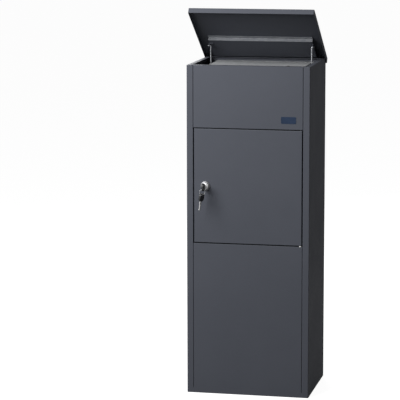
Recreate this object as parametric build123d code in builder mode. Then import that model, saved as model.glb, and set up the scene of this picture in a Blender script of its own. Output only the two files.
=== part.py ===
from build123d import *
from math import cos, radians, sin
import os

os.makedirs("parts", exist_ok=True)

# Frame: X to the right, Y to the back, Z up. The origin is the middle of the footprint on the floor.

# Cabinet: overall size, sheet steel and its folds
width = 380.0
depth = 300.0
height = 1020.0
sheet = 1.2
bend = 1.8             # outside radius of a folded edge
edge_round = 0.9       # outside radius of a pressed edge, less than the sheet

# Walls: folded returns, flanges and seams
strip = 20.0           # returns of the side walls that show at the front and at the back
return_depth = 14.0    # how far the inner folds reach into the cabinet
seam_stop = 16.0       # the seams beside the front panels end this far above the floor
side_flange = 14.0     # top flange of a side wall
end_flange = 12.0      # top flange of the rear panel
front_flange = 22.0    # top flange of the front panel
seam_gap = 0.7         # between a fixed front panel and the strips beside it
base_flange = seam_stop - 1.0
anchor_spacing_x = 260.0
anchor_spacing_y = 200.0
anchor_radius = 5.5

# Door
upper_panel = 190.5    # height of the fixed panel above the door
lower_panel = 471.5    # height of the fixed panel below the door
door_gap = 3.0
door_depth = 14.0
stop_gap = 2.0         # between the door's back edge and the lips that stop it
stop_lip = 11.0
pivot_inset = 4.5      # door pivot, from the door's right edge
pivot_depth = 5.0      # door pivot, behind the front face
pivot_radius = 2.5
running = 0.05         # radial clearance of a pin in its hole
washer_radius = 3.6

# Lid and its hinge
lid_angle = 33.0       # how far the lid stands open
lid_rise = 2.0         # inside of the closed lid above the top flanges
lid_skirt = 17.0
lid_side_gap = 2.8
lid_front_gap = 3.8
lid_corner = 2.5
axis_drop = 5.0        # hinge axis below the cabinet's top
pin_radius = 2.5
leaf = 1.2
leaf_drop = 22.0       # fixed leaf, below the hinge axis
hinge_length = 330.0
knuckles = 7
knuckle_gap = 0.4
joggle = 0.4           # step of a leaf, so that the other leaf's knuckles clear the sheet behind

# Stiffener under the lid: distances along the lid from the hinge axis
stiffener_near = 22.0
stiffener_far = 124.0
stiffener_foot = 12.0
stiffener_depth = 12.0
stiffener_past = 4.5     # stiffener, beyond the links on each side
edge_angle = 1.0       # thickness of the angle along the stiffener's front edge

# Flap that holds the parcel until the lid closes
flap_drop = 11.0       # top of the level flap below the cabinet's top
flap_pivot_back = 27.6 # flap axis, in front of the cabinet's back
flap_rod_radius = 3.0
flap_wall_gap = 36.0   # beside the flap, where the links move
flap_front_gap = 3.0   # behind the folds of the front panel
flap_lip = 12.0
ledge_drop = 20.0      # height of the ledge's riveted flange
ledge_gap = 0.8        # between the ledge and the flap's rolled edge
ear_reach = 8.0        # of the ledge's ears, past the flap axis
ear_gap = 1.5          # between the flap and an ear

# Links between the lid and the flap
link_reach = 102.0     # upper link pin, along the lid from the hinge axis
link_radius = 2.0
link_gap = 6.7           # from a side of the flap to the middle of a link's straight run
link_bend = 2.5
upper_hook = 8.0       # from the straight run's middle out to the end of the upper hook
lower_hook = 11.0      # and in to the end of the lower hook
lug = 1.6
lug_width = 14.0
lug_foot = 10.0
lug_pin_drop = 5.5     # upper link pin below the stiffener
flap_pin_drop = 6.0    # lower link pin below the top of the flap
nut_radius = 3.6
nut = 0.8
nut_gap = 0.4

# Slot for the lower link pin in the flap's side: from the pin's place while the lid stands open
slot_from = -1.6
slot_to = 1.6
slot_radius = 2.5

# Lock
lock_inset = 35.0      # lock axis, from the door's left edge
escutcheon_radius = 15.0
escutcheon_rise = 4.6
barrel_radius = 9.5
barrel_lip = 1.0         # of the barrel's head, wider than its body
barrel_flat = 8.0
barrel_front = 8.0
plug_radius = 6.5
plug_proud = 0.4
plug_square = 6.8
cam_gap = 1.5          # between the cam and the fold that it locks behind
cam = 2.5
cam_reach = 50.0
cam_half = 8.0
fit = 0.1              # clearance of pieces that are put together once

# Keys and ring: distances along a key from the slot in its bow
key_thickness = 2.2
key_half = 4.0
key_shoulder = 5.5
bow_length = 25.0
bow_half = 11.5
bow_thickness = 6.0
bow_hole = 2.5         # half the width of the ring's slot
bow_slot = 4.5         # half the way between the slot's round ends
bow_end = 5.0          # bow past the middle of its slot
bow_neck = 8.6         # bare metal between the bow and the plug
blade_length = 20.4
tang = 9.0
ring_radius = 8.6
ring_wire = 0.8
ring_drop = 8.9        # ring's middle, below the lower end of the slot
ring_lean = 9.0        # how far the ring and the spare key hang askew
spare_drop = 9.4       # spare key's slot, below the ring's middle
spare_twist = 20.0

# Small parts
badge_x = 125.0
badge_drop = 162.0
badge_width = 46.0
badge_height = 21.0
badge = 0.8
buffer_radius = 5.0
buffer_x = 120.0
rivet_radius = 2.0
rivet_head = 4.0
rivet_rise = 1.4
rivet_pitch = 90.0
rivet_count = 4

# Places worked out from the sizes
half_width = width / 2
front = -depth / 2
back = depth / 2
inner_x = half_width - sheet
inner_back = back - 2 * sheet
panel_half = half_width - strip
seam_half = panel_half - seam_gap
flange_half = half_width - side_flange
door_half = panel_half - door_gap
door_bottom = lower_panel + door_gap
door_top = height - upper_panel - door_gap
door_middle = (door_bottom + door_top) / 2
lip_front = front + door_depth + stop_gap

knuckle_in = pin_radius + running
knuckle_out = knuckle_in + leaf
axis_y = back - sheet + joggle + knuckle_out
axis_z = height - axis_drop
leaf_face = back - sheet + leaf
lid_plane = Plane(
    origin=(0, axis_y, axis_z), x_dir=(1, 0, 0), z_dir=(0, sin(radians(lid_angle)), cos(radians(lid_angle)))
)
lid_under = axis_drop + lid_rise
lid_top = lid_under + sheet
lid_half = half_width + lid_side_gap + sheet
lid_back = knuckle_out + joggle + sheet
lid_front = front - lid_front_gap - sheet - axis_y
stiffener_face = lid_under - stiffener_depth

curl_in = flap_rod_radius + running
curl_out = curl_in + sheet
flap_top = height - flap_drop
flap_y = back - flap_pivot_back
flap_z = flap_top - curl_out
flap_half = inner_x - flap_wall_gap
flap_front = front + return_depth + flap_front_gap
ear_x = flap_half + ear_gap

link_x = flap_half + link_gap
stiffener_half = link_x + stiffener_past
upper_pin = lid_plane.from_local_coords(Vector(0, -link_reach, stiffener_face - lug_pin_drop))
lower_pin = Vector(0, upper_pin.Y, flap_top - flap_pin_drop)
lug_x = link_x + link_bend + link_radius / 2

pivot_x = door_half - pivot_inset
pivot_y = front + pivot_depth
lock_x = -door_half + lock_inset
lock_plane = Plane(origin=(lock_x, front, door_middle), x_dir=(1, 0, 0), z_dir=(0, -1, 0))
lock_section = Plane(origin=(lock_x, front, door_middle), x_dir=(1, 0, 0), z_dir=(0, 0, -1))
lock_axis = Axis((lock_x, front, door_middle), (0, -1, 0))
barrel_head = barrel_radius + barrel_lip
cam_face = -(return_depth + cam_gap)
plug_face = barrel_front + plug_proud

hole_out = plug_face + bow_neck + bow_length - bow_end
hole_y = front - hole_out
lean = radians(ring_lean)
twist = radians(spare_twist)
hanging = Vector(-sin(lean), 0, -cos(lean))
ring_middle = Vector(lock_x, hole_y, door_middle - bow_slot) + hanging * ring_drop
key_plane = Plane(origin=(lock_x, hole_y, door_middle), x_dir=(0, 1, 0), z_dir=(1, 0, 0))
spare_plane = Plane(
    origin=ring_middle + hanging * spare_drop, x_dir=hanging,
    z_dir=(cos(lean) * cos(twist), -sin(twist), -sin(lean) * cos(twist)),
)


def save(piece, label):
    piece.part.label = label
    export_step(piece.part, f"parts/{label}.step")


def slab(x_low, x_high, y_low, y_high, z_low, z_high):
    """Add a flat piece of sheet, given by its corners, to the part that is being built."""
    with Locations(((x_low + x_high) / 2, (y_low + y_high) / 2, (z_low + z_high) / 2)):
        Box(x_high - x_low, y_high - y_low, z_high - z_low)


# Side walls: each is one sheet with a strip folded round to the front and one to the back.
with BuildPart() as right_side_panel:
    with BuildLine(Plane.XY.offset(seam_stop)):
        FilletPolyline(
            (panel_half, front + return_depth), (panel_half, front), (half_width, front),
            (half_width, back), (panel_half, back), radius=bend,
        )
    make_brake_formed(sheet, height - seam_stop, side=Side.LEFT)
    with BuildLine():
        FilletPolyline(
            (panel_half, front), (half_width, front), (half_width, back), (panel_half, back), radius=bend
        )
    make_brake_formed(sheet, seam_stop, side=Side.LEFT)
    with BuildSketch(Plane.XY.offset(height - sheet)) as flange:
        with Locations((flange_half + side_flange / 2, 0)):
            Rectangle(side_flange, depth)
        fillet(flange.vertices().group_by(Axis.X)[-1], bend)
    extrude(amount=sheet)
    top_edge = right_side_panel.edges().filter_by(Axis.Y).group_by(Axis.Z)[-1].sort_by(Axis.X)[-1]
    fillet(top_edge, edge_round)
save(right_side_panel, "right_side_panel")

with BuildPart() as left_side_panel:
    mirror(right_side_panel.part, about=Plane.YZ)
save(left_side_panel, "left_side_panel")

# Rear panel: it lies inside the rear strips, with a flange folded forward at the top.
rivet_z = axis_z - leaf_drop + 7.0
rivet_places = [((i - (rivet_count - 1) / 2) * rivet_pitch, rivet_z) for i in range(rivet_count)]
with BuildPart() as rear_panel:
    rear_half = half_width - bend
    slab(-rear_half, rear_half, inner_back, back - sheet, 0, height - sheet)
    slab(-flange_half, flange_half, inner_back - end_flange, back - sheet, height - sheet, height)
    with BuildSketch(Plane.XZ.offset(-inner_back)):
        with Locations(*rivet_places):
            Circle(rivet_radius + fit)
    extrude(amount=-sheet, mode=Mode.SUBTRACT)
save(rear_panel, "rear_panel")

# Base: a tray with its walls turned up inside the cabinet, and four anchor holes.
with BuildPart() as base_panel:
    slab(-inner_x, inner_x, front + sheet, inner_back, 0, base_flange)
    fillet(base_panel.edges().filter_by(Axis.Z), bend)
    offset(amount=-sheet, openings=base_panel.faces().sort_by(Axis.Z)[-1])
    with Locations(Plane.XY.offset(sheet)):
        with GridLocations(anchor_spacing_x, anchor_spacing_y, 2, 2):
            Hole(anchor_radius, depth=sheet)
save(base_panel, "base_panel")

# Fixed panel above the door: side returns, a top flange whose ends meet the side walls' flanges, and a
# stop lip behind the door's top edge.
with BuildPart() as upper_front_panel:
    with BuildLine(Plane.XY.offset(height - upper_panel)):
        FilletPolyline(
            (-seam_half, front + return_depth), (-seam_half, front), (seam_half, front),
            (seam_half, front + return_depth), radius=bend,
        )
    make_brake_formed(sheet, upper_panel, side=Side.LEFT)
    slab(-seam_half + bend, seam_half - bend, front, front + front_flange, height - sheet, height)
    slab(-flange_half, flange_half, front + return_depth, front + front_flange, height - sheet, height)
    lip_back = lip_front + sheet
    low = height - upper_panel
    slab(-seam_half + bend, seam_half - bend, front, lip_back, low, low + sheet)
    slab(-seam_half + bend, seam_half - bend, lip_front, lip_back, low - stop_lip, low)
    front_edges = upper_front_panel.edges().filter_by(Axis.X).group_by(Axis.Y)[0]
    fillet(front_edges.sort_by(Axis.Z)[0], edge_round)
    with Locations(Plane((pivot_x, pivot_y, low + sheet))):
        Hole(pivot_radius + running, depth=sheet)
save(upper_front_panel, "upper_front_panel")

# Fixed panel below the door: the same folds, and a flat foot under the end of its seams.
with BuildPart() as lower_front_panel:
    with BuildLine(Plane.XY.offset(seam_stop)):
        FilletPolyline(
            (-seam_half, front + return_depth), (-seam_half, front), (seam_half, front),
            (seam_half, front + return_depth), radius=bend,
        )
    make_brake_formed(sheet, lower_panel - seam_stop, side=Side.LEFT)
    slab(-panel_half, panel_half, front, front + sheet, 0, seam_stop)
    slab(-seam_half + bend, seam_half - bend, front, lip_back, lower_panel - sheet, lower_panel)
    slab(-seam_half + bend, seam_half - bend, lip_front, lip_back, lower_panel, lower_panel + stop_lip)
    front_edges = lower_front_panel.edges().filter_by(Axis.X).group_by(Axis.Y)[0]
    fillet(front_edges.sort_by(Axis.Z)[-1], edge_round)
    with Locations(Plane((pivot_x, pivot_y, lower_panel))):
        Hole(pivot_radius + running, depth=sheet)
save(lower_front_panel, "lower_front_panel")

# Door: a shallow pan, open to the back, with pivot holes and a lock hole with two flats.
with BuildPart() as door:
    slab(-door_half, door_half, front, front + door_depth, door_bottom, door_top)
    fillet(door.edges().group_by(Axis.Y)[0], bend)
    offset(amount=-sheet, openings=door.faces().sort_by(Axis.Y)[-1])
    with Locations(Plane((pivot_x, pivot_y, door_top)), Plane((pivot_x, pivot_y, door_bottom + sheet))):
        Hole(pivot_radius + running, depth=sheet)
    with BuildSketch(lock_plane):
        Circle(barrel_radius + fit)
        Rectangle(2 * (barrel_flat + fit), 2 * barrel_radius + 1, mode=Mode.INTERSECT)
    extrude(amount=-sheet, mode=Mode.SUBTRACT)
save(door, "door")


def hinge_pin(seat, towards_door):
    """A headed pin that stands in a panel's flange and reaches through the door's edge."""
    with BuildPart() as pin:
        with BuildSketch(Plane((pivot_x, pivot_y, seat))):
            Circle(pivot_radius + 1)
        extrude(amount=-towards_door * 2.0)
        with BuildSketch(Plane((pivot_x, pivot_y, seat))):
            Circle(pivot_radius)
        extrude(amount=towards_door * (2 * sheet + door_gap + 3.0))
    return pin


save(hinge_pin(height - upper_panel + sheet, -1), "door_hinge_pin_upper")
save(hinge_pin(lower_panel - sheet, 1), "door_hinge_pin_lower")

# White washer that carries the door
with BuildPart() as door_hinge_washer:
    with BuildSketch(Plane((pivot_x, pivot_y, lower_panel))):
        Circle(washer_radius)
        Circle(pivot_radius + running, mode=Mode.SUBTRACT)
    extrude(amount=door_gap - 0.2)
save(door_hinge_washer, "door_hinge_washer")

# Lock: escutcheon, barrel and nut stay with the door.
with BuildPart() as lock_escutcheon:
    with BuildSketch(lock_section):
        with BuildLine():
            Polyline(
                (barrel_radius + fit, 0), (escutcheon_radius, 0), (escutcheon_radius, 1.0),
                (escutcheon_radius - 0.8, 2.4), (barrel_head + 1.2, escutcheon_rise - 0.4),
                (barrel_head + fit, escutcheon_rise), (barrel_radius + fit, escutcheon_rise), close=True,
            )
        make_face()
    revolve(axis=lock_axis)
save(lock_escutcheon, "lock_escutcheon")

with BuildPart() as lock_barrel:
    with BuildSketch(lock_section):
        with BuildLine():
            Polyline(
                (plug_radius + running, cam_face + 0.4), (barrel_radius, cam_face + 0.4),
                (barrel_radius, escutcheon_rise), (barrel_head, escutcheon_rise),
                (barrel_head, barrel_front - 0.8), (barrel_head - 0.8, barrel_front),
                (plug_radius + running, barrel_front), close=True,
            )
        make_face()
    revolve(axis=lock_axis)
    with BuildSketch(lock_plane.offset(cam_face)):
        Rectangle(3 * barrel_radius, 3 * barrel_radius)
        Rectangle(2 * barrel_flat, 3 * barrel_radius, mode=Mode.SUBTRACT)
    extrude(amount=-cam_face, mode=Mode.SUBTRACT)
save(lock_barrel, "lock_barrel")

with BuildPart() as lock_nut:
    with BuildSketch(lock_plane.offset(-sheet)):
        RegularPolygon(barrel_radius + 4.0, 6)
        Circle(barrel_radius + fit, mode=Mode.SUBTRACT)
    extrude(amount=-4.0)
save(lock_nut, "lock_nut")

# The plug turns in the barrel, with a keyway from its face and a square tail that carries the cam.
with BuildPart() as lock_plug:
    with BuildSketch(lock_plane.offset(cam_face)):
        Circle(plug_radius)
    extrude(amount=plug_face - cam_face)
    chamfer(lock_plug.edges().sort_by(Axis.Y)[0], 0.5)
    with BuildSketch(lock_plane.offset(cam_face)):
        Rectangle(plug_square, plug_square)
    extrude(amount=-cam)
    with BuildSketch(lock_plane.offset(plug_face)):
        Rectangle(key_thickness + 2 * fit, 2 * (key_half + fit))
    extrude(amount=-(blade_length + 1.5), mode=Mode.SUBTRACT)
save(lock_plug, "lock_plug")

with BuildPart() as lock_cam:
    with BuildSketch(lock_plane.offset(cam_face)):
        SlotCenterPoint((0, -(cam_reach - cam_half) / 2), (0, 0), 2 * cam_half)
        Rectangle(plug_square + 2 * running, plug_square + 2 * running, mode=Mode.SUBTRACT)
    extrude(amount=-cam)
save(lock_cam, "lock_cam")

with BuildPart() as cam_screw:
    with BuildSketch(lock_plane.offset(cam_face - cam)):
        Circle(5.2)
    extrude(amount=-2.6)
    chamfer(cam_screw.edges().sort_by(Axis.Y)[-1], 0.8)
    with BuildSketch(lock_plane.offset(cam_face - cam - 2.6)):
        Rectangle(6.0, 1.2)
        Rectangle(1.2, 6.0)
    extrude(amount=1.3, mode=Mode.SUBTRACT)
save(cam_screw, "cam_screw")


def key_bow(plane):
    """A moulded bow with a waist, a slot for the ring and a pocket for the blade's tang."""
    end = bow_length - bow_end
    with BuildPart() as bow:
        with BuildSketch(plane.offset(-bow_thickness / 2)) as outline:
            Polygon(
                (end, -key_shoulder), (end, key_shoulder), (0.7 * end, bow_half), (0, bow_half),
                (-bow_end, 0.5 * bow_half), (-bow_end, -0.5 * bow_half), (0, -bow_half),
                (0.7 * end, -bow_half), align=None,
            )
            fillet(outline.vertices().sort_by(Axis.X)[:6], 0.3 * bow_half)
        extrude(amount=bow_thickness)
        face_edges = bow.edges().group_by(Axis(plane.origin, plane.z_dir))
        chamfer(face_edges[0] + face_edges[-1], 0.8)
        with BuildSketch(plane.offset(-bow_thickness / 2)):
            SlotCenterToCenter(2 * bow_slot, 2 * bow_hole, rotation=90)
        extrude(amount=bow_thickness, mode=Mode.SUBTRACT)
        with BuildSketch(Plane(plane.from_local_coords(Vector(end, 0, 0)), plane.z_dir, -plane.x_dir)):
            Rectangle(key_thickness, 2 * key_half)
        extrude(amount=tang, mode=Mode.SUBTRACT)
    return bow


def key_blade(plane):
    """A flat blade with a shoulder, a chamfered tip and five cuts."""
    start = bow_length - bow_end - tang
    neck = bow_length - bow_end
    stop = neck + bow_neck
    tip = stop + blade_length
    with BuildPart() as blade:
        with BuildSketch(plane.offset(-key_thickness / 2)):
            with BuildLine():
                Polyline(
                    (start, -key_half), (neck, -key_half), (neck, -key_shoulder),
                    (stop - 0.3, -key_shoulder), (stop - 0.3, -key_half), (tip - 4.0, -key_half),
                    (tip, 0), (tip - 3.0, key_half),
                    (stop - 0.3, key_half), (stop - 0.3, key_shoulder), (neck, key_shoulder),
                    (neck, key_half), (start, key_half), close=True,
                )
            make_face()
            for i, cut in enumerate((1.4, 2.2, 1.0, 2.5, 1.7)):
                with Locations((stop + 3.0 + 3.0 * i, -key_half)):
                    Rectangle(1.4, 2 * cut, mode=Mode.SUBTRACT)
        extrude(amount=key_thickness)
    return blade


save(key_bow(key_plane), "key_bow")
save(key_blade(key_plane), "key_blade")
save(key_bow(spare_plane), "spare_key_bow")
save(key_blade(spare_plane), "spare_key_blade")

with BuildPart() as key_ring:
    with BuildSketch(Plane(origin=ring_middle, x_dir=(1, 0, 0), z_dir=(0, 0, 1))):
        with Locations((ring_radius, 0)):
            RegularPolygon(ring_wire, 6)
    revolve(axis=Axis(ring_middle, (0, 1, 0)))
save(key_ring, "key_ring")

# Lid: a pan with a skirt all round, modelled standing open about the hinge axis.
with BuildPart() as lid:
    lid_normal = Axis(lid_plane.origin, lid_plane.z_dir)
    with BuildSketch(lid_plane.offset(lid_top - lid_skirt)):
        with Locations((0, (lid_back + lid_front) / 2)):
            Rectangle(2 * lid_half, lid_back - lid_front)
    extrude(amount=lid_skirt)
    fillet(lid.edges().filter_by(lid_normal), lid_corner)
    fillet(lid.edges().group_by(lid_normal)[-1], bend)
    offset(amount=-sheet, openings=lid.faces().sort_by(lid_normal)[0])
save(lid, "lid")

# Hat-shaped stiffener under the lid, which also carries the links. Its sheet is folded in the lid's own
# frame, seen from the left end, and then put in place.
stiffener_side = Plane(origin=(-stiffener_half, 0, 0), x_dir=(0, -1, 0), z_dir=(-1, 0, 0))
with BuildPart() as folded_hat:
    with BuildLine(stiffener_side):
        FilletPolyline(
            (stiffener_near - stiffener_foot, lid_under), (stiffener_near, lid_under),
            (stiffener_near, stiffener_face + sheet), (stiffener_far, stiffener_face + sheet),
            (stiffener_far, lid_under), (stiffener_far + stiffener_foot, lid_under), radius=bend,
        )
    make_brake_formed(sheet, 2 * stiffener_half, side=Side.RIGHT)
with BuildPart() as lid_stiffener:
    with Locations(lid_plane):
        add(folded_hat.part)
save(lid_stiffener, "lid_stiffener")

# Bright angle along its front edge
with BuildPart() as folded_angle:
    web_y = -stiffener_far - sheet
    foot_top = lid_under - sheet
    slab(-stiffener_half, stiffener_half, web_y - edge_angle, web_y, stiffener_face, foot_top)
    foot_end = -stiffener_far - stiffener_foot
    slab(-stiffener_half, stiffener_half, foot_end, web_y, foot_top - edge_angle, foot_top)
    levels = folded_angle.edges().filter_by(Axis.X).group_by(Axis.Z)
    outer_corner = levels[-1].sort_by(Axis.Y)[-1]
    inner_corner = levels[-2].sort_by(Axis.Y)[-1]
    fillet(outer_corner, bend)
    fillet(inner_corner, bend - edge_angle)
with BuildPart() as stiffener_angle:
    with Locations(lid_plane):
        add(folded_angle.part)
save(stiffener_angle, "stiffener_angle")

# Piano hinge: the knuckles of the two leaves alternate along one pin.
pitch = hinge_length / knuckles
knuckle_places = [(i - (knuckles - 1) / 2) * pitch - (pitch - knuckle_gap) / 2 for i in range(knuckles)]
notch = knuckle_out + knuckle_gap


def hinge_leaf(plane, reach, places):
    """A leaf on one side of the pin, seen from its end: x towards the sheet it lies on, y along it."""
    with BuildPart() as hinge:
        with BuildSketch(*[plane.offset(x) for x in places]):
            Circle(knuckle_out)
            with Locations((knuckle_in + joggle + leaf / 2, reach / 2)):
                Rectangle(leaf, reach)
            Circle(knuckle_in, mode=Mode.SUBTRACT)
        extrude(amount=pitch - knuckle_gap)
        with BuildSketch(plane.offset(-hinge_length / 2)):
            with Locations((knuckle_in + joggle + leaf / 2, (reach + notch) / 2)):
                Rectangle(leaf, reach - notch)
        extrude(amount=hinge_length)
    return hinge


with BuildPart() as hinge_leaf_rear:
    wall_side = Plane(origin=(0, axis_y, axis_z), x_dir=(0, -1, 0), z_dir=(1, 0, 0))
    add(hinge_leaf(wall_side, leaf_drop, knuckle_places[0::2]).part)
    with BuildSketch(Plane.XZ.offset(-leaf_face)):
        with Locations(*rivet_places):
            Circle(rivet_radius + fit)
    extrude(amount=leaf, mode=Mode.SUBTRACT)
save(hinge_leaf_rear, "hinge_leaf_rear")

lid_side = Plane(origin=lid_plane.origin, x_dir=lid_plane.y_dir, z_dir=(1, 0, 0))
save(hinge_leaf(lid_side, lid_under - 1.0, knuckle_places[1::2]), "hinge_leaf_lid")

with BuildPart() as lid_hinge_pin:
    with BuildSketch(Plane.YZ.offset(-hinge_length / 2 - 1)):
        with Locations((axis_y, axis_z)):
            Circle(pin_radius)
    extrude(amount=hinge_length + 2)
    chamfer(lid_hinge_pin.edges().filter_by(GeomType.CIRCLE), 0.6)
save(lid_hinge_pin, "lid_hinge_pin")

# Rivets through the fixed leaf, the rear panel and the ledge
with BuildPart() as hinge_rivets:
    with BuildSketch(Plane.XZ.offset(-leaf_face)):
        with Locations(*rivet_places):
            Circle(rivet_head)
    extrude(amount=-rivet_rise)
    with BuildSketch(Plane.XZ.offset(-leaf_face)):
        with Locations(*rivet_places):
            Circle(rivet_radius)
    extrude(amount=leaf + 2 * sheet + rivet_rise)
save(hinge_rivets, "hinge_rivets")

# Fixed ledge behind the flap, with an ear at each end for the flap's rod
with BuildPart() as flap_rear_ledge:
    ear_end = ear_x + sheet
    ledge_front = flap_y + curl_out + ledge_gap
    slab(-ear_end, ear_end, ledge_front, inner_back, flap_top - sheet, flap_top)
    slab(-ear_end, ear_end, inner_back - sheet, inner_back, flap_top - ledge_drop, flap_top)
    slab(ear_x, ear_end, flap_y - ear_reach, inner_back, flap_z - ear_reach, flap_top)
    slab(-ear_end, -ear_x, flap_y - ear_reach, inner_back, flap_z - ear_reach, flap_top)
    corners = flap_rear_ledge.edges().filter_by(Axis.X).group_by(Axis.Y)[0]
    fillet(corners.sort_by(Axis.Z)[:2], 5.0)
    with BuildSketch(Plane.YZ.offset(-ear_end)):
        with Locations((flap_y, flap_z)):
            Circle(flap_rod_radius + running)
    extrude(amount=2 * ear_end, mode=Mode.SUBTRACT)
    with BuildSketch(Plane.XZ.offset(-inner_back)):
        with Locations(*rivet_places):
            Circle(rivet_radius + fit)
    extrude(amount=sheet, mode=Mode.SUBTRACT)
save(flap_rear_ledge, "flap_rear_ledge")

with BuildPart() as flap_hinge_rod:
    with BuildSketch(Plane.YZ.offset(-ear_end)):
        with Locations((flap_y, flap_z)):
            Circle(flap_rod_radius)
    extrude(amount=2 * ear_end)
    with BuildSketch(Plane.YZ.offset(ear_end), Plane.YZ.offset(-ear_end - 1.5)):
        with Locations((flap_y, flap_z)):
            Circle(flap_rod_radius + 1.2)
    extrude(amount=1.5)
save(flap_hinge_rod, "flap_hinge_rod")

# Flap: a tray with its edges folded down on three sides, rolled round its rod at the back. The slots in
# its sides take the links' lower hooks, because the lid's rise and the flap's turn keep only nearly in
# step.
with BuildPart() as flap:
    tray_back = flap_y - curl_out - 2.0
    slab(-flap_half, flap_half, flap_front, tray_back, flap_top - flap_lip, flap_top)
    tray_top = flap.edges().group_by(Axis.Z)[-1]
    fillet(tray_top.filter_by(Axis.Y) + tray_top.filter_by(Axis.X).sort_by(Axis.Y)[0], bend)
    offset(amount=-sheet, openings=[flap.faces().sort_by(Axis.Z)[0], flap.faces().sort_by(Axis.Y)[-1]])
    slab(-flap_half + bend, flap_half - bend, tray_back, flap_y, flap_top - sheet, flap_top)
    with BuildSketch(Plane.YZ.offset(-flap_half + bend)):
        with Locations((flap_y, flap_z)):
            Circle(curl_out)
            Circle(curl_in, mode=Mode.SUBTRACT)
    extrude(amount=2 * (flap_half - bend))
    with BuildSketch(Plane.YZ.offset(-flap_half)):
        with Locations((lower_pin.Y + (slot_from + slot_to) / 2, lower_pin.Z)):
            SlotCenterToCenter(slot_to - slot_from, 2 * slot_radius)
    extrude(amount=2 * flap_half, mode=Mode.SUBTRACT)
save(flap, "flap")

# Two angle lugs under the stiffener, one at each end
under_lid = Plane(
    lid_plane.from_local_coords(Vector(0, -link_reach, stiffener_face)), x_dir=lid_plane.y_dir,
    z_dir=(-1, 0, 0),
)
with BuildPart() as lid_link_lugs:
    with BuildSketch(under_lid.offset(lug_x), under_lid.offset(-lug_x - lug)):
        with Locations((0, lug_pin_drop / 2)):
            Rectangle(lug_width, lug_pin_drop)
        with Locations((0, lug_pin_drop)):
            Circle(lug_width / 2)
        with Locations((0, -lug_width / 2)):
            Rectangle(lug_width, lug_width, mode=Mode.SUBTRACT)
        with Locations((0, lug_pin_drop)):
            Circle(link_radius + running, mode=Mode.SUBTRACT)
    extrude(amount=lug)
    with BuildSketch(under_lid.offset(lug_x - lug_foot), under_lid.offset(-lug_x)):
        with Locations((0, lug / 2)):
            Rectangle(lug_width, lug)
    extrude(amount=lug_foot)
save(lid_link_lugs, "lid_link_lugs")


def link_rod(side):
    """A bent rod: its upper hook passes outwards through a lug, its lower one inwards into the flap."""
    run_x = side * link_x
    with BuildPart() as rod:
        with BuildLine() as wire:
            Polyline(
                (side * (link_x + upper_hook), upper_pin.Y, upper_pin.Z),
                (side * (link_x + link_bend), upper_pin.Y, upper_pin.Z),
                (run_x, upper_pin.Y, upper_pin.Z - link_bend), (run_x, lower_pin.Y, lower_pin.Z + link_bend),
                (side * (link_x - link_bend), lower_pin.Y, lower_pin.Z),
                (side * (link_x - lower_hook), lower_pin.Y, lower_pin.Z),
            )
        with BuildSketch(Plane(origin=wire.line @ 0, z_dir=wire.line % 0)):
            Circle(link_radius)
        sweep(transition=Transition.RIGHT)
    return rod


save(link_rod(1), "link_rod_right")
save(link_rod(-1), "link_rod_left")

with BuildPart() as link_push_nuts:
    upper_nut = lug_x + lug + nut_gap
    lower_nut = flap_half - sheet - nut_gap - nut
    for nut_x, pin in ((upper_nut, upper_pin), (lower_nut, lower_pin)):
        with BuildSketch(Plane.YZ.offset(nut_x), Plane.YZ.offset(-nut_x - nut)):
            with Locations((pin.Y, pin.Z)):
                RegularPolygon(nut_radius, 8)
                Circle(link_radius, mode=Mode.SUBTRACT)
        extrude(amount=nut)
save(link_push_nuts, "link_push_nuts")

# Bare plate on the upper front panel, and the two rubber discs that the lid closes on
with BuildPart() as badge_plate:
    with BuildSketch(Plane.XZ.offset(-front)):
        with Locations((badge_x, height - badge_drop)):
            RectangleRounded(badge_width, badge_height, 3.0)
    extrude(amount=badge)
    chamfer(badge_plate.edges().group_by(Axis.Y)[0], 0.3)
save(badge_plate, "badge_plate")

with BuildPart() as lid_buffers:
    buffer_y = front + front_flange / 2
    with BuildSketch(Plane.XY.offset(height)):
        with Locations((-buffer_x, buffer_y), (buffer_x, buffer_y)):
            Circle(buffer_radius)
    extrude(amount=lid_rise - 0.2)
save(lid_buffers, "lid_buffers")
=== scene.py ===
from math import cos, pi, radians, sin

import bmesh
import bpy
from mathutils import Matrix, Vector


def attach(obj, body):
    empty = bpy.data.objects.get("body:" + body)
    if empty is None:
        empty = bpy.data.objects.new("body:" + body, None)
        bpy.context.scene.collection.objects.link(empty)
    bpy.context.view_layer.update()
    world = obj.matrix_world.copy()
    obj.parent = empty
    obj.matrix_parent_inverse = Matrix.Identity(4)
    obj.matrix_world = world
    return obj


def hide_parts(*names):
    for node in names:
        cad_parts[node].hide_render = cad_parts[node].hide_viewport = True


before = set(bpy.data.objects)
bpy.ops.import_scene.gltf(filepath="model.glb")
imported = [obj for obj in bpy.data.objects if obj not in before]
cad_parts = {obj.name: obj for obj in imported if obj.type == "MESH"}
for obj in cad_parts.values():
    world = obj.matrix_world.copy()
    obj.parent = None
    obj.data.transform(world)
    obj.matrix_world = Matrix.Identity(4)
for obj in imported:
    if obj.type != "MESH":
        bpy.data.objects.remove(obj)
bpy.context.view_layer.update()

# Places are in metres. The cabinet stands on z = 0 and its front faces -Y.
# Each piece is shaped in millimetres in its own small frame, and then put in its place.
LOCK_CENTRE = Vector((-0.132, -0.150, 0.6505))
BOW_MIDDLE = Vector((-0.132, -0.187, 0.6505))
RING_MIDDLE = Vector((-0.133392, -0.187, 0.637210))
KEY_LEAN = radians(9.0)
KEY_TWIST = radians(20.0)
HANGING = Vector((-sin(KEY_LEAN), 0.0, -cos(KEY_LEAN)))
SPARE_MIDDLE = RING_MIDDLE + HANGING * 0.0094
BADGE_CENTRE = Vector((0.125, -0.150, 0.858))
BACK_FACE = 0.150
RIVET_HEIGHT = 1.000
RIVET_SPOTS = (-0.135, -0.045, 0.045, 0.135)
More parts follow.
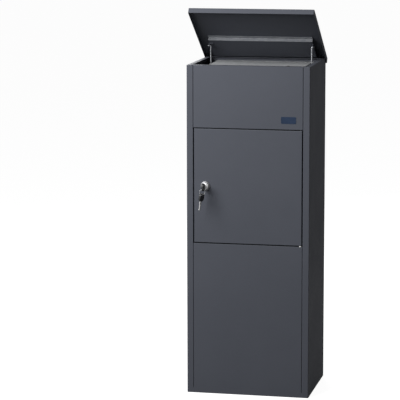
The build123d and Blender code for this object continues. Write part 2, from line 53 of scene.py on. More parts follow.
BUFFER_SPOTS = (-0.120, 0.120)
BUFFER_Y = -0.139
CABINET_TOP = 1.020
LINK_X = 0.1595
UPPER_PIN = Vector((0.0, 0.061687, 1.061747))
LOWER_PIN = Vector((0.0, 0.061687, 1.003))


# Camera: the photograph's place and angle
def place_camera():
    camera = bpy.data.cameras.new("camera")
    camera.sensor_fit = "HORIZONTAL"
    camera.sensor_width = 36.0
    camera.lens = 185.9
    camera.clip_end = 200.0
    stand = (1.193, -6.247, 1.614)
    yaw, pitch, roll = radians(12.41), radians(9.17), radians(-0.11)
    forward = Vector((-sin(yaw) * cos(pitch), cos(yaw) * cos(pitch), -sin(pitch)))
    level_right = Vector((cos(yaw), sin(yaw), 0.0))
    level_up = level_right.cross(forward)
    right = level_right * cos(roll) + level_up * sin(roll)
    up = level_up * cos(roll) - level_right * sin(roll)
    viewpoint = bpy.data.objects.new("camera", camera)
    turn = Matrix((right, up, -forward)).transposed().to_4x4()
    viewpoint.matrix_world = Matrix.Translation(stand) @ turn
    bpy.context.scene.collection.objects.link(viewpoint)
    bpy.context.scene.camera = viewpoint


place_camera()


# Shader helpers
def fill(tree, node, sockets):
    """Link each input that is given an output, and set the others to their value."""
    for name, value in sockets.items():
        if isinstance(value, bpy.types.NodeSocket):
            tree.links.new(value, node.inputs[name])
        else:
            node.inputs[name].default_value = value
    return node


def add(tree, kind, sockets=None, **settings):
    node = tree.nodes.new("ShaderNode" + kind)
    for name, value in settings.items():
        setattr(node, name, value)
    return fill(tree, node, sockets or {})


def maths(tree, operation, first, second=0.0, clamp=False):
    return add(tree, "Math", {0: first, 1: second}, operation=operation, use_clamp=clamp).outputs[0]


def between(tree, value, low, high, to_low=0.0, to_high=1.0):
    sockets = {"Value": value, "From Min": low, "From Max": high, "To Min": to_low, "To Max": to_high}
    return add(tree, "MapRange", sockets).outputs["Result"]


def mixed(tree, factor, first, second):
    sockets = {"Factor": factor, 6: first, 7: second}
    return add(tree, "Mix", sockets, data_type="RGBA").outputs[2]


def shared_effect(name, inputs, outputs):
    group = bpy.data.node_groups.new(name, "ShaderNodeTree")
    for label, value in inputs.items():
        kind = "NodeSocketVector" if label == "Place" else "NodeSocketFloat"
        socket = group.interface.new_socket(label, in_out="INPUT", socket_type=kind)
        if label != "Place":
            socket.default_value = value
    for label in outputs:
        group.interface.new_socket(label, in_out="OUTPUT", socket_type="NodeSocketFloat")
    return group, group.nodes.new("NodeGroupInput").outputs, group.nodes.new("NodeGroupOutput").inputs


# Grain: the fine skin of a sprayed or moulded surface, with slow cloudiness over it
def make_grain():
    group, given, result = shared_effect(
        "grain", {"Place": None, "Grains per metre": 900.0, "Clouds per metre": 9.0}, ("Height", "Clouds")
    )
    coarse = add(group, "TexNoise", {"Vector": given["Place"], "Scale": given["Grains per metre"],
                                     "Detail": 2.0, "Roughness": 0.55})
    finer = maths(group, "MULTIPLY", given["Grains per metre"], 2.7)
    fine = add(group, "TexNoise", {"Vector": given["Place"], "Scale": finer, "Detail": 1.0})
    clouds = add(group, "TexNoise", {"Vector": given["Place"], "Scale": given["Clouds per metre"],
                                     "Detail": 4.0, "Roughness": 0.6})
    height = maths(group, "ADD", maths(group, "MULTIPLY", coarse.outputs["Fac"], 0.65),
                   maths(group, "MULTIPLY", fine.outputs["Fac"], 0.35))
    group.links.new(height, result["Height"])
    group.links.new(between(group, clouds.outputs["Fac"], 0.3, 0.7), result["Clouds"])
    return group


# Edge wear: where the surface turns a corner, broken up by noise
def make_edge_wear():
    group, given, result = shared_effect(
        "edge wear", {"Place": None, "Width": 0.0012, "Patches per metre": 60.0}, ("Mask",)
    )
    rounded = add(group, "Bevel", {"Radius": given["Width"]}, samples=4)
    flat = add(group, "NewGeometry")
    facing = add(group, "VectorMath", {0: rounded.outputs["Normal"], 1: flat.outputs["Normal"]},
                 operation="DOT_PRODUCT")
    corner = between(group, facing.outputs["Value"], 0.99, 0.86)
    patches = add(group, "TexNoise", {"Vector": given["Place"], "Scale": given["Patches per metre"],
                                      "Detail": 3.0, "Roughness": 0.65})
    broken = between(group, patches.outputs["Fac"], 0.42, 0.62)
    group.links.new(maths(group, "MULTIPLY", corner, broken, clamp=True), result["Mask"])
    return group


# Dust: a thin film on what faces up, thicker in soft patches
def make_dust():
    group, given, result = shared_effect("dust", {"Place": None, "Patches per metre": 25.0}, ("Mask",))
    facing = add(group, "SeparateXYZ", {"Vector": add(group, "NewGeometry").outputs["Normal"]})
    upward = between(group, facing.outputs["Z"], 0.55, 1.0)
    patches = add(group, "TexNoise", {"Vector": given["Place"], "Scale": given["Patches per metre"],
                                      "Detail": 5.0, "Roughness": 0.7})
    film = between(group, patches.outputs["Fac"], 0.35, 0.75)
    group.links.new(maths(group, "MULTIPLY", upward, film, clamp=True), result["Mask"])
    return group


# Brushing: fine scratches drawn out along one axis, which the Across inputs choose
def make_brushing():
    group, given, result = shared_effect(
        "brushing", {"Place": None, "Across X": 1.0, "Across Y": 1.0, "Across Z": 1.0}, ("Height",)
    )
    stretch = add(group, "CombineXYZ", {axis: given["Across " + axis] for axis in "XYZ"})
    drawn = add(group, "VectorMath", {0: given["Place"], 1: stretch.outputs["Vector"]}, operation="MULTIPLY")
    lines = add(group, "TexNoise", {"Vector": drawn.outputs["Vector"], "Scale": 1.0, "Detail": 3.0,
                                    "Roughness": 0.6})
    group.links.new(lines.outputs["Fac"], result["Height"])
    return group


GRAIN = make_grain()
EDGE_WEAR = make_edge_wear()
DUST = make_dust()
BRUSHING = make_brushing()


def use(tree, group, sockets):
    return add(tree, "Group", sockets, node_tree=group).outputs


def new_material(name, **plain):
    """A material with its shader, whose even values are set on the shader's own sockets."""
    material = bpy.data.materials.new(name)
    material.use_nodes = True
    tree = material.node_tree
    shader = tree.nodes["Principled BSDF"]
    for label, value in plain.items():
        shader.inputs[label.replace("_", " ")].default_value = value
    place = add(tree, "TexCoord").outputs["Object"]
    return material, tree, shader, place


def tint(tree, colour, mask, share, other):
    """Another colour laid over the first, by a share of a mask."""
    return mixed(tree, maths(tree, "MULTIPLY", mask, share), colour, other)


def bump(tree, shader, height, distance):
    node = add(tree, "Bump", {"Height": height, "Distance": distance, "Strength": 1.0})
    tree.links.new(node.outputs["Normal"], shader.inputs["Normal"])


# Powder coat of the cabinet, lid and door
def make_cabinet_paint():
    material, tree, shader, place = new_material("cabinet_powder_coat", Specular_IOR_Level=0.16)
    skin = use(tree, GRAIN, {"Place": place, "Grains per metre": 1150.0, "Clouds per metre": 5.0})
    wear = use(tree, EDGE_WEAR, {"Place": place, "Width": 0.0011, "Patches per metre": 45.0})
    dust = use(tree, DUST, {"Place": place, "Patches per metre": 22.0})
    fleck = between(tree, skin["Height"], 0.42, 0.62)
    coat = mixed(tree, skin["Clouds"], (0.064, 0.069, 0.084, 1), (0.070, 0.075, 0.091, 1))
    coat = tint(tree, coat, fleck, 0.16, (0.110, 0.118, 0.140, 1))
    coat = tint(tree, coat, wear["Mask"], 0.25, (0.15, 0.16, 0.185, 1))
    coat = tint(tree, coat, dust["Mask"], 0.08, (0.30, 0.29, 0.27, 1))
    tree.links.new(coat, shader.inputs["Base Color"])
    gloss = between(tree, skin["Clouds"], 0.0, 1.0, 0.54, 0.62)
    tree.links.new(maths(tree, "ADD", gloss, maths(tree, "MULTIPLY", dust["Mask"], 0.12)),
                   shader.inputs["Roughness"])
    bump(tree, shader, skin["Height"], 0.00012)
    return material


# Galvanised sheet: zinc flowers, a faint rolled grain and dull patches
def make_galvanised(name, dark, light, metallic):
    material, tree, shader, place = new_material(name, Metallic=metallic)
    warp = add(tree, "TexNoise", {"Vector": place, "Scale": 60.0, "Detail": 2.0})
    drift = add(tree, "VectorMath", {0: warp.outputs["Color"], "Scale": 0.006}, operation="SCALE")
    bent = add(tree, "VectorMath", {0: place, 1: drift.outputs["Vector"]}, operation="ADD")
    flowers = add(tree, "TexVoronoi", {"Vector": bent.outputs["Vector"], "Scale": 95.0}, feature="F1")
    tone = add(tree, "SeparateColor", {"Color": flowers.outputs["Color"]}).outputs["Red"]
    skin = use(tree, GRAIN, {"Place": place, "Grains per metre": 1800.0, "Clouds per metre": 12.0})
    dust = use(tree, DUST, {"Place": place, "Patches per metre": 40.0})
    wear = use(tree, EDGE_WEAR, {"Place": place, "Width": 0.0009, "Patches per metre": 80.0})
    zinc = mixed(tree, tone, dark, light)
    zinc = tint(tree, zinc, skin["Clouds"], 0.25, dark)
    zinc = tint(tree, zinc, dust["Mask"], 0.15, (0.50, 0.49, 0.46, 1))
    zinc = tint(tree, zinc, wear["Mask"], 0.3, (0.72, 0.73, 0.74, 1))
    tree.links.new(zinc, shader.inputs["Base Color"])
    dull = between(tree, tone, 0.0, 1.0, 0.58, 0.46)
    tree.links.new(maths(tree, "ADD", dull, maths(tree, "MULTIPLY", dust["Mask"], 0.15)),
                   shader.inputs["Roughness"])
    relief = maths(tree, "ADD", maths(tree, "MULTIPLY", tone, 0.35),
                   maths(tree, "MULTIPLY", skin["Height"], 0.5))
    bump(tree, shader, relief, 0.00003)
    return material


# Bare metal: its lines run along the axis with the lowest number in "across"
def make_metal(name, dark, light, rough, across, worn=0.0, metallic=1.0):
    material, tree, shader, place = new_material(name, Metallic=metallic)
    across_x, across_y, across_z = across
    lines = use(tree, BRUSHING, {"Place": place, "Across X": across_x, "Across Y": across_y,
                                 "Across Z": across_z})
    skin = use(tree, GRAIN, {"Place": place, "Grains per metre": 1500.0, "Clouds per metre": 60.0})
    wear = use(tree, EDGE_WEAR, {"Place": place, "Width": 0.0005, "Patches per metre": 200.0})
    colour = mixed(tree, between(tree, lines["Height"], 0.35, 0.65), dark, light)
    colour = tint(tree, colour, wear["Mask"], worn, (0.85, 0.84, 0.82, 1))
    tree.links.new(colour, shader.inputs["Base Color"])
    patchy = between(tree, skin["Clouds"], 0.0, 1.0, rough - 0.04, rough + 0.06)
    tree.links.new(patchy, shader.inputs["Roughness"])
    bump(tree, shader, lines["Height"], 0.00002)
    return material


# Moulded plastic and rubber: key bows, washer, buffers
def make_moulded(name, colour, lighter, rough, grains, depth, worn):
    material, tree, shader, place = new_material(name, Specular_IOR_Level=0.45)
    skin = use(tree, GRAIN, {"Place": place, "Grains per metre": grains, "Clouds per metre": 90.0})
    wear = use(tree, EDGE_WEAR, {"Place": place, "Width": 0.0006, "Patches per metre": 260.0})
    dust = use(tree, DUST, {"Place": place, "Patches per metre": 120.0})
    shade = mixed(tree, skin["Clouds"], colour, lighter)
    shade = tint(tree, shade, wear["Mask"], worn, (0.22, 0.22, 0.22, 1))
    shade = tint(tree, shade, dust["Mask"], 0.08, (0.35, 0.34, 0.32, 1))
    tree.links.new(shade, shader.inputs["Base Color"])
    tree.links.new(between(tree, skin["Clouds"], 0.0, 1.0, rough - 0.04, rough + 0.05),
                   shader.inputs["Roughness"])
    bump(tree, shader, skin["Height"], depth)
    return material


# Gloss plate without any print, dark blue under a clear coat
def make_badge():
    material, tree, shader, place = new_material("badge_gloss", Coat_Weight=0.35, Coat_Roughness=0.12,
                                                 Roughness=0.40, Specular_IOR_Level=0.30)
    skin = use(tree, GRAIN, {"Place": place, "Grains per metre": 1400.0, "Clouds per metre": 30.0})
    wear = use(tree, EDGE_WEAR, {"Place": place, "Width": 0.0004, "Patches per metre": 300.0})
    colour = mixed(tree, skin["Clouds"], (0.010, 0.022, 0.050, 1), (0.014, 0.029, 0.064, 1))
    colour = tint(tree, colour, wear["Mask"], 0.35, (0.14, 0.19, 0.26, 1))
    tree.links.new(colour, shader.inputs["Base Color"])
    bump(tree, shader, skin["Height"], 0.00001)
    return material


paint = make_cabinet_paint()
# One galvanised sheet in two copies: the flap's paler copy is painted light in the shade under the lid,
zinc_with_painted_light = make_galvanised("zinc_with_painted_light", (0.34, 0.35, 0.36, 1), (0.42, 0.43, 0.44, 1), metallic=0.12)
# and the stiffener angle's darker copy is painted shade where the key light falls strongly on it.
zinc_with_painted_shade = make_galvanised("zinc_with_painted_shade", (0.21, 0.22, 0.24, 1), (0.27, 0.28, 0.30, 1), metallic=0.30)
# The rosette's plating is darkened far below its own colour: painted shade that dims the key light's
# reflection on the dome.
nickel_with_painted_shade = make_metal("nickel_with_painted_shade", (0.20, 0.20, 0.21, 1), (0.26, 0.26, 0.27, 1), rough=0.50,
                            across=(300, 300, 300), metallic=0.8)
# The barrel's plating is made much paler than the rosette's: a painted highlight standing in for the bright
# reflection on the head.
chrome_with_painted_highlight = make_metal("chrome_with_painted_highlight", (0.88, 0.88, 0.89, 1), (0.95, 0.95, 0.95, 1), rough=0.48,
                          across=(300, 300, 300), metallic=0.8)
drawn_rod = make_metal("drawn_rod", (0.34, 0.35, 0.37, 1), (0.44, 0.45, 0.47, 1), rough=0.40,
                       across=(900, 900, 40), worn=0.3)
zinc_plate = make_metal("zinc_plate", (0.48, 0.49, 0.50, 1), (0.62, 0.63, 0.63, 1), rough=0.34,
                        across=(300, 300, 300))
black_steel = make_metal("black_steel", (0.045, 0.047, 0.050, 1), (0.075, 0.078, 0.082, 1), rough=0.46,
                         across=(300, 300, 60))
pin_steel = make_metal("pin_steel", (0.40, 0.41, 0.42, 1), (0.56, 0.57, 0.57, 1), rough=0.34,
                       across=(40, 900, 900))
key_nickel = make_metal("key_nickel", (0.62, 0.62, 0.62, 1), (0.74, 0.74, 0.74, 1), rough=0.42,
                        across=(500, 500, 500), worn=0.4, metallic=0.45)
# The plug's face is made just as pale: a painted highlight on the face round the keyway.
plug_face_with_painted_highlight = make_metal("plug_face_with_painted_highlight", (0.86, 0.86, 0.87, 1), (0.95, 0.95, 0.95, 1), rough=0.50,
                       across=(1400, 80, 300), metallic=0.8)
black_plastic = make_moulded("bow_plastic", (0.016, 0.017, 0.018, 1), (0.024, 0.025, 0.027, 1), rough=0.44,
                             grains=2200.0, depth=0.00003, worn=0.25)
white_nylon = make_moulded("washer_nylon", (0.78, 0.78, 0.75, 1), (0.84, 0.84, 0.81, 1), rough=0.45,
                           grains=1200.0, depth=0.00001, worn=0.0)
buffer_rubber = make_moulded("buffer_rubber", (0.022, 0.022, 0.022, 1), (0.032, 0.032, 0.031, 1), rough=0.70,
                             grains=2600.0, depth=0.00005, worn=0.1)
badge_gloss = make_badge()

NODE_FINISH = {
    paint: ("left_side_panel", "right_side_panel", "rear_panel", "base_panel", "upper_front_panel",
            "lower_front_panel", "door", "lid", "lid_stiffener", "lid_link_lugs", "hinge_leaf_rear",
            "hinge_leaf_lid", "hinge_rivets"),
    zinc_with_painted_light: ("flap", "flap_rear_ledge"),
    zinc_with_painted_shade: ("stiffener_angle",),
    drawn_rod: ("link_rod_left", "link_rod_right"),
    zinc_plate: ("lock_nut", "lock_cam", "cam_screw", "link_push_nuts"),
    black_steel: ("door_hinge_pin_upper", "door_hinge_pin_lower"),
    pin_steel: ("lid_hinge_pin", "flap_hinge_rod"),
    nickel_with_painted_shade: ("lock_escutcheon",),
    chrome_with_painted_highlight: ("lock_barrel",),
    plug_face_with_painted_highlight: ("lock_plug",),
    key_nickel: ("key_blade", "spare_key_blade", "key_ring"),
    black_plastic: ("key_bow", "spare_key_bow"),
    white_nylon: ("door_hinge_washer",),
    buffer_rubber: ("lid_buffers",),
    badge_gloss: ("badge_plate",),
}
for finish, names in NODE_FINISH.items():
    for name in names:
        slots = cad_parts[name].data.materials
        if len(slots):
            slots[0] = finish
        else:
            slots.append(finish)


# Shaping helpers. A small frame is given by its origin, the way its x runs and the way its z points.
def small_frame(origin, along, facing):
    along, facing = Vector(along).normalized(), Vector(facing).normalized()
    turn = Matrix((along, facing.cross(along), facing)).transposed().to_4x4()
    return Matrix.Translation(origin) @ turn @ Matrix.Scale(0.001, 4)


def outline(bm, points):
    """A closed loop of edges in the small frame's xy plane. Gives back its corners."""
    corners = [bm.verts.new((x, y, 0.0)) for x, y in points]
    for pair in zip(corners, corners[1:] + corners[:1]):
        bm.edges.new(pair)
    return corners


def round_corners(bm, corners, radius, segments):
    bmesh.ops.bevel(bm, geom=corners, offset=radius, offset_type="OFFSET", segments=segments, profile=0.5,
                    affect="VERTICES", material=-1)


def thicken(bm, faces, depth):
    """Raise flat faces into a plate, and give back the faces of its far side."""
    raised = bmesh.ops.extrude_face_region(bm, geom=faces)["geom"]
    corners = [part for part in raised if isinstance(part, bmesh.types.BMVert)]
    bmesh.ops.translate(bm, vec=(0.0, 0.0, depth), verts=corners)
    return [part for part in raised if isinstance(part, bmesh.types.BMFace)]


def slab(bm, thickness, dissolve):
    """Fill the outlines and thicken them, half to each side of the small frame's plane."""
    bmesh.ops.triangle_fill(bm, edges=bm.edges, use_beauty=True, use_dissolve=dissolve, normal=(0, 0, 1))
    bmesh.ops.translate(bm, vec=(0, 0, -thickness / 2), verts=bm.verts)
    thicken(bm, list(bm.faces), thickness)


def sink(bm, faces, width, depth):
    """Run a border inside flat faces, and move what is left by a depth along their normal."""
    bmesh.ops.inset_region(bm, faces=faces, thickness=width, depth=depth, use_boundary=True,
                           use_even_offset=True)


def split(bm, spot, facing, drop_outside=False):
    """Cut the mesh by a plane. Gives back the edges of the cut."""
    everything = bm.verts[:] + bm.edges[:] + bm.faces[:]
    cut = bmesh.ops.bisect_plane(bm, geom=everything, dist=0.0001, plane_co=spot, plane_no=facing,
                                 clear_outer=drop_outside)["geom_cut"]
    return [part for part in cut if isinstance(part, bmesh.types.BMEdge)]


def soften(bm, width, segments, angle):
    """Bevel every edge that turns by more than an angle."""
    bmesh.ops.recalc_face_normals(bm, faces=bm.faces)
    sharp = [edge for edge in bm.edges if edge.is_manifold and edge.calc_face_angle() > radians(angle)]
    bmesh.ops.bevel(bm, geom=sharp, offset=width, offset_type="OFFSET", segments=segments, profile=0.5,
                    affect="EDGES", clamp_overlap=True, material=-1)


def turned(profile, steps, closed):
    """Spin a profile of radii and heights round the small frame's z axis."""
    bm = bmesh.new()
    corners = [bm.verts.new((radius, 0.0, height)) for radius, height in profile]
    edges = [bm.edges.new(pair) for pair in zip(corners, corners[1:])]
    if closed:
        edges.append(bm.edges.new((corners[-1], corners[0])))
    bmesh.ops.spin(bm, geom=corners + edges, cent=(0, 0, 0), axis=(0, 0, 1), angle=2 * pi, steps=steps,
                   use_merge=True)
    bmesh.ops.remove_doubles(bm, verts=bm.verts, dist=0.002)
    return bm


def copied_to(bm, places):
    """One mesh with a copy of the shape in each of the small frames given."""
    whole = bmesh.new()
    shape = bpy.data.meshes.new("shape")
    bm.to_mesh(shape)
    bm.free()
    for place in places:
        before = len(whole.verts)
        whole.from_mesh(shape)
        whole.verts.ensure_lookup_table()
        bmesh.ops.transform(whole, matrix=place, verts=whole.verts[before:])
    bpy.data.meshes.remove(shape)
    return whole


def finished(name, bm, material, body, stands_for, sharp=35.0):
    """Merge, turn the faces out, shade, and hand the piece to its body."""
    bmesh.ops.remove_doubles(bm, verts=bm.verts, dist=0.000002)
    bmesh.ops.recalc_face_normals(bm, faces=bm.faces)
    mesh = bpy.data.meshes.new(name)
    bm.to_mesh(mesh)
    bm.free()
    mesh.shade_smooth()
    mesh.set_sharp_from_angle(angle=radians(sharp))
    mesh.materials.append(material)
    piece = bpy.data.objects.new(name, mesh)
    bpy.context.scene.collection.objects.link(piece)
    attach(piece, body)
    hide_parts(*stands_for)


KEY_FRAME = small_frame(BOW_MIDDLE, (0, 1, 0), (1, 0, 0))
SPARE_FACING = Vector((cos(KEY_LEAN) * cos(KEY_TWIST), -sin(KEY_TWIST), -sin(KEY_LEAN) * cos(KEY_TWIST)))
SPARE_FRAME = small_frame(SPARE_MIDDLE, HANGING, SPARE_FACING)
LOCK_FRAME = small_frame(LOCK_CENTRE, (1, 0, 0), (0, -1, 0))


# Key bow: a moulded plate with a raised rim, a ring slot across it and rounded edges
def moulded_bow(name, place, body, node):
    thickness, slot_radius, slot_reach, end_steps = 5.9, 2.5, 4.5, 9
    rim_width, rim_slope, sunk = 0.65, 0.25, 0.4
    bm = bmesh.new()
    rim = outline(bm, ((20, -5.5), (20, 5.5), (14, 11.5), (0, 11.5), (-5, 5.75), (-5, -5.75),
                       (0, -11.5), (14, -11.5)))
    round_corners(bm, rim[:2], 1.2, segments=5)
    round_corners(bm, rim[2:], 3.3, segments=6)
    turns = [pi * i / end_steps for i in range(end_steps + 1)]
    upper_end = [(slot_radius * cos(turn), slot_reach + slot_radius * sin(turn)) for turn in turns]
    lower_end = [(-x, -y) for x, y in upper_end]
    outline(bm, upper_end + lower_end)
    slab(bm, thickness, dissolve=False)
    bmesh.ops.recalc_face_normals(bm, faces=bm.faces)
    for side in (1, -1):
        field = [face for face in bm.faces if face.normal.z * side > 0.9]
        sink(bm, field, rim_width, 0.0)
        sink(bm, field, rim_slope, -sunk)
    soften(bm, 0.4, segments=3, angle=70.0)
    bmesh.ops.transform(bm, matrix=place, verts=bm.verts)
    finished(name, bm, black_plastic, body, (node,))


# Key blade: stamped plate with a milled groove on both sides, cuts, a shoulder and a chamfered tip
def cut_blade(name, place, body, node):
    root, bow_end, stop, tip = 11, 20, 28.3, 49
    edge, shoulder, nose, thickness = 4, 5.5, 0.6, 2.2
    first_cut, cut_pitch, mouth, floor = 31.6, 3.0, 1.3, 0.35
    groove_start, groove_end, groove_low, groove_high = 22.5, 47.6, 0.2, 1.9
    bm = bmesh.new()
    points = [(root, -edge), (bow_end, -edge), (bow_end, -shoulder), (stop, -shoulder), (stop, -edge)]
    for i, depth in enumerate((1.4, 2.2, 1.0, 2.5, 1.7)):
        middle = first_cut + cut_pitch * i
        points += [(middle - mouth, -edge), (middle - floor, depth - edge), (middle + floor, depth - edge),
                   (middle + mouth, -edge)]
    points += [(46.2, -edge), (tip, -nose), (tip, nose), (46.4, edge), (stop, edge), (stop, shoulder),
               (bow_end, shoulder), (bow_end, edge), (root, edge)]
    outline(bm, points)
    slab(bm, thickness, dissolve=True)
    for height in (groove_low, groove_high):
        split(bm, (0, height, 0), (0, 1, 0))
    for along in (groove_start, groove_end):
        split(bm, (along, 0, 0), (1, 0, 0))
    bmesh.ops.recalc_face_normals(bm, faces=bm.faces)
    for side in (1, -1):
        groove = []
        for face in bm.faces:
            middle = face.calc_center_median()
            if (face.normal.z * side > 0.9 and groove_low < middle.y < groove_high
                    and groove_start < middle.x < groove_end):
                groove.append(face)
        sink(bm, groove, 0.3, -0.5)
    soften(bm, 0.12, segments=2, angle=60.0)
    bmesh.ops.transform(bm, matrix=place, verts=bm.verts)
    finished(name, bm, key_nickel, body, (node,))


moulded_bow("moulded_key_bow", KEY_FRAME, "key", "key_bow")
cut_blade("cut_key_blade", KEY_FRAME, "key", "key_blade")
moulded_bow("moulded_spare_bow", SPARE_FRAME, "spare_key", "spare_key_bow")
cut_blade("cut_spare_blade", SPARE_FRAME, "spare_key", "spare_key_blade")


# Split ring: almost two turns of wire side by side
def split_ring():
    wire_radius, ring_radius, rise, steps = 0.44, 8.22, 1.56, 110
    start = radians(40)
    bm = bmesh.new()
    section = bmesh.ops.create_circle(bm, cap_ends=False, segments=10, radius=wire_radius)["verts"]
    bmesh.ops.rotate(bm, cent=(0, 0, 0), matrix=Matrix.Rotation(pi / 2, 3, "X"), verts=section)
    bmesh.ops.translate(bm, vec=(ring_radius, 0, -rise / 2), verts=section)
    bmesh.ops.spin(bm, geom=bm.verts[:] + bm.edges[:], cent=(0, 0, 0), axis=(0, 0, 1),
                   dvec=(0, 0, rise / steps), angle=radians(690.0), steps=steps, use_merge=False)
    ends = [edge for edge in bm.edges if edge.is_boundary]
    bmesh.ops.holes_fill(bm, edges=ends, sides=12)
    place = small_frame(RING_MIDDLE, (cos(start), 0, -sin(start)), (0, -1, 0))
    bmesh.ops.transform(bm, matrix=place, verts=bm.verts)
    finished("split_ring", bm, key_nickel, "key_ring", ("key_ring",), sharp=60.0)


split_ring()


# Rosette of the lock: a smooth dome with a rolled inner lip
def lock_rosette():
    bore = 9.62
    profile = ((bore, 0.0), (14.6, 0.0), (15.0, 0.3), (15.0, 0.9), (14.8, 1.6), (14.2, 2.45), (13.3, 3.2),
               (12.3, 3.75), (11.5, 3.98), (11.2, 3.75), (10.95, 3.75), (10.75, 4.1), (10.5, 4.58),
               (bore, 4.58))
    bm = turned(profile, 96, closed=True)
    bmesh.ops.transform(bm, matrix=LOCK_FRAME, verts=bm.verts)
    finished("lock_rosette", bm, nickel_with_painted_shade, "door", ("lock_escutcheon",), sharp=50.0)


# Barrel: a round head, and behind the door a threaded body with two flats
def threaded_barrel():
    bore, crest, root, pitch, half_flat = 6.56, 9.5, 8.8, 2.0, 8.0
    ridges = []
    for i in range(9):
        top = 3.4 - pitch * i
        ridges += [(crest, top), (crest, top - 0.35), (root, top - 1.0), (root, top - 1.2)]
    profile = [(bore, 4.7), (crest, 4.7)] + ridges + [(9.2, -14.6), (8.9, -15.1), (bore, -15.1)]
    body = turned(profile, 72, closed=True)
    for side in (1, -1):
        rim = split(body, (half_flat * side, 0, 0), (side, 0, 0), drop_outside=True)
        bmesh.ops.edgeloop_fill(body, edges=rim)
    bmesh.ops.transform(body, matrix=LOCK_FRAME, verts=body.verts)
    finished("threaded_barrel", body, chrome_with_painted_highlight, "door", ("lock_barrel",))
    profile = ((bore, 4.6), (10.5, 4.6), (10.5, 6.9), (10.2, 7.55), (9.6, 7.9), (8.9, 8.0), (7.1, 8.0),
               (6.9, 7.8), (bore, 7.8))
    head = turned(profile, 96, closed=True)
    bmesh.ops.transform(head, matrix=LOCK_FRAME, verts=head.verts)
    finished("barrel_head", head, chrome_with_painted_highlight, "door", ("lock_barrel",), sharp=50.0)


lock_rosette()
threaded_barrel()


# Bare badge: a plate with a raised rim round a sunk field
def bare_badge():
    half_width, half_height, thickness = 23, 10.5, 0.8
    bm = bmesh.new()
    corners = outline(bm, ((half_width, half_height), (-half_width, half_height),
                           (-half_width, -half_height), (half_width, -half_height)))
    round_corners(bm, corners, 3.2, segments=8)
    bmesh.ops.edgeloop_fill(bm, edges=bm.edges)
    top = thicken(bm, list(bm.faces), thickness)
    bmesh.ops.recalc_face_normals(bm, faces=bm.faces)
    for width, depth in ((0.25, 0.0), (0.9, 0.0), (0.25, -0.35)):
        sink(bm, top, width, depth)
    soften(bm, 0.18, segments=2, angle=60.0)
    bmesh.ops.transform(bm, matrix=small_frame(BADGE_CENTRE, (1, 0, 0), (0, -1, 0)), verts=bm.verts)
    finished("bare_badge", bm, badge_gloss, "cabinet", ("badge_plate",))


bare_badge()


# Hinge rivets: domed heads outside, upset tails inside
def domed_rivets():
    profile = ((0.0, 1.4), (0.9, 1.36), (1.9, 1.2), (2.8, 0.92), (3.5, 0.55), (3.9, 0.18), (4.0, 0.0),
               (2.0, 0.0), (2.0, -3.6), (2.4, -3.9), (2.5, -4.5), (2.0, -5.0), (0.0, -5.0))
    places = [small_frame((x, BACK_FACE, RIVET_HEIGHT), (-1, 0, 0), (0, 1, 0)) for x in RIVET_SPOTS]
    rivets = copied_to(turned(profile, 28, closed=False), places)
    finished("domed_rivets", rivets, paint, "cabinet", ("hinge_rivets",), sharp=45.0)


# Rubber buffers on the front flange: a rounded disc with a sunk middle
def rubber_buffers():
    profile = ((0.0, 1.1), (1.3, 1.1), (1.7, 1.5), (2.3, 1.74), (3.3, 1.8), (4.2, 1.68), (4.75, 1.3),
               (5.0, 0.7), (5.0, 0.0), (0.0, 0.0))
    places = [small_frame((x, BUFFER_Y, CABINET_TOP), (1, 0, 0), (0, 0, 1)) for x in BUFFER_SPOTS]
    buffers = copied_to(turned(profile, 32, closed=False), places)
    finished("rubber_buffers", buffers, buffer_rubber, "cabinet", ("lid_buffers",), sharp=60.0)


# Push nuts: thin dished discs that grip the ends of the link rods
def dished_nuts():
    profile = ((2.0, 0.0), (2.5, 0.02), (3.0, 0.18), (3.6, 0.45), (3.6, 0.78), (3.0, 0.52), (2.5, 0.36),
               (2.0, 0.34))
    upper_x, lower_x = 0.165, 0.1512
    places = []
    for side in (1, -1):
        places.append(small_frame(UPPER_PIN + Vector((upper_x * side, 0, 0)), (0, 1, 0), (side, 0, 0)))
        places.append(small_frame(LOWER_PIN + Vector((lower_x * side, 0, 0)), (0, 1, 0), (-side, 0, 0)))
    nuts = copied_to(turned(profile, 32, closed=True), places)
    finished("dished_nuts", nuts, zinc_plate, "links", ("link_push_nuts",), sharp=50.0)


domed_rivets()
rubber_buffers()
dished_nuts()


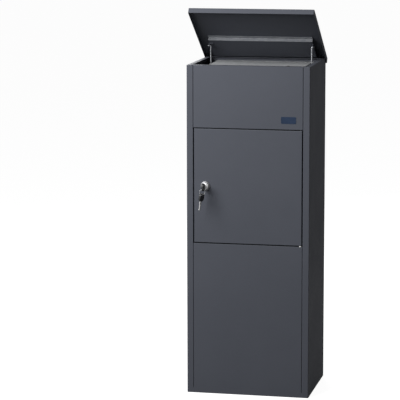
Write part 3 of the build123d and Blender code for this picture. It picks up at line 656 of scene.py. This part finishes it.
# Link rods: one wire each, bent out at the top and in at the bottom, with chamfered ends
def bent_rod(name, side, node):
    drop = 1000.0 * (UPPER_PIN.z - LOWER_PIN.z)
    rod_radius, end_radius, chamfer, bend = 2.0, 1.6, 0.5, 3.2
    upper_reach, lower_reach = 8.0, 11.0
    bm = bmesh.new()
    bmesh.ops.create_circle(bm, cap_ends=True, segments=24, radius=end_radius)
    bmesh.ops.rotate(bm, cent=(0, 0, 0), matrix=Matrix.Rotation(pi / 2, 3, "Y"), verts=bm.verts)
    bmesh.ops.translate(bm, vec=(upper_reach, 0, 0), verts=bm.verts)

    def run(geometry, step, grow=1.0):
        made = bmesh.ops.extrude_edge_only(bm, edges=geometry)["geom"]
        corners = [part for part in made if isinstance(part, bmesh.types.BMVert)]
        bmesh.ops.translate(bm, vec=step, verts=corners)
        middle = sum((corner.co for corner in corners), Vector()) / len(corners)
        bmesh.ops.scale(bm, vec=(grow, grow, grow), space=Matrix.Translation(-middle), verts=corners)
        return [part for part in made if isinstance(part, bmesh.types.BMEdge)
                and all(corner in corners for corner in part.verts)]

    def bent(geometry, centre, angle):
        corners = list(dict.fromkeys(corner for edge in geometry for corner in edge.verts))
        made = bmesh.ops.spin(bm, geom=corners + geometry, cent=centre, axis=(0, 1, 0), angle=angle, steps=8,
                              use_merge=False)["geom_last"]
        return [part for part in made if isinstance(part, bmesh.types.BMEdge)]

    rim = run(bm.edges[:], (-chamfer, 0, 0), rod_radius / end_radius)
    rim = run(rim, (chamfer - upper_reach + bend, 0, 0))
    rim = bent(rim, (bend, 0, -bend), -pi / 2)
    rim = run(rim, (0, 0, 2 * bend - drop))
    rim = bent(rim, (-bend, 0, bend - drop), pi / 2)
    rim = run(rim, (chamfer - lower_reach + bend, 0, 0))
    rim = run(rim, (-chamfer, 0, 0), end_radius / rod_radius)
    bmesh.ops.holes_fill(bm, edges=rim, sides=24)
    mirrored = Matrix.Scale(side, 4, (1, 0, 0))
    place = Matrix.Translation((LINK_X * side, UPPER_PIN.y, UPPER_PIN.z)) @ Matrix.Scale(0.001, 4)
    bmesh.ops.transform(bm, matrix=place @ mirrored, verts=bm.verts)
    finished(name, bm, drawn_rod, "links", (node,), sharp=50.0)


bent_rod("bent_rod_right", 1, "link_rod_right")
bent_rod("bent_rod_left", -1, "link_rod_left")


# Floor, backdrop and light
def backdrop_masks(tree, share):
    """How pale the backdrop is to a ray: in full when seen, and by a share in a reflection."""
    path = add(tree, "LightPath")
    seen = maths(tree, "MAXIMUM", path.outputs["Is Camera Ray"], path.outputs["Is Transmission Ray"])
    return seen, maths(tree, "MULTIPLY", path.outputs["Is Glossy Ray"], share)


def make_floor():
    half_size = 60.0
    gap = 0.0003    # keeps the floor clear of the cabinet's lower edges
    bm = bmesh.new()
    bmesh.ops.create_grid(bm, x_segments=1, y_segments=1, size=half_size)
    bmesh.ops.translate(bm, vec=(0.0, 0.0, -gap), verts=bm.verts)
    mesh = bpy.data.meshes.new("floor")
    bm.to_mesh(mesh)
    bm.free()
    floor = bpy.data.objects.new("floor", mesh)
    bpy.context.scene.collection.objects.link(floor)
    material = bpy.data.materials.new("pale_floor")
    material.use_nodes = True
    tree = material.node_tree
    tree.nodes.clear()
    plain = add(tree, "BsdfDiffuse", {"Color": (0.16, 0.16, 0.16, 1)})
    pale = add(tree, "BsdfDiffuse", {"Color": (0.30, 0.30, 0.30, 1)})
    white = add(tree, "Emission", {"Color": (1, 1, 1, 1), "Strength": 0.95})
    shown = add(tree, "AddShader", {0: pale.outputs[0], 1: white.outputs[0]})
    seen, reflected = backdrop_masks(tree, 0.2)
    surface = add(tree, "MixShader", {0: maths(tree, "MAXIMUM", seen, reflected), 1: plain.outputs[0],
                                      2: shown.outputs[0]})
    add(tree, "OutputMaterial", {"Surface": surface.outputs[0]})
    mesh.materials.append(material)


def make_world():
    world = bpy.data.worlds.new("studio")
    world.use_nodes = True
    tree = world.node_tree
    tree.nodes.clear()
    fill_light = 0.08
    seen, reflected = backdrop_masks(tree, 0.16)
    strength = maths(tree, "MAXIMUM", maths(tree, "ADD", fill_light, reflected), seen)
    background = add(tree, "Background", {"Color": (1, 1, 1, 1), "Strength": strength})
    add(tree, "OutputWorld", {"Surface": background.outputs[0]})
    bpy.context.scene.world = world


def area_light(name, place, target, size, power):
    lamp = bpy.data.lights.new(name, "AREA")
    lamp.shape = "RECTANGLE"
    lamp.size, lamp.size_y = size
    lamp.energy = power
    holder = bpy.data.objects.new(name, lamp)
    holder.location = place
    holder.rotation_euler = (Vector(target) - Vector(place)).to_track_quat("-Z", "Y").to_euler()
    holder.visible_camera = False
    bpy.context.scene.collection.objects.link(holder)


make_floor()
make_world()
area_light("key_light", (-1.15, -1.6, 2.0), (0.0, -0.15, 0.80), (1.5, 1.5), 88.0)
area_light("rear_light", (-0.9, 2.1, 2.2), (0.0, 0.0, 0.8), (1.6, 1.6), 55.0)
area_light("side_light", (1.1, 0.3, 1.1), (0.19, 0.0, 0.85), (0.6, 0.6), 0.8)

bpy.context.scene.view_settings.view_transform = "Standard"
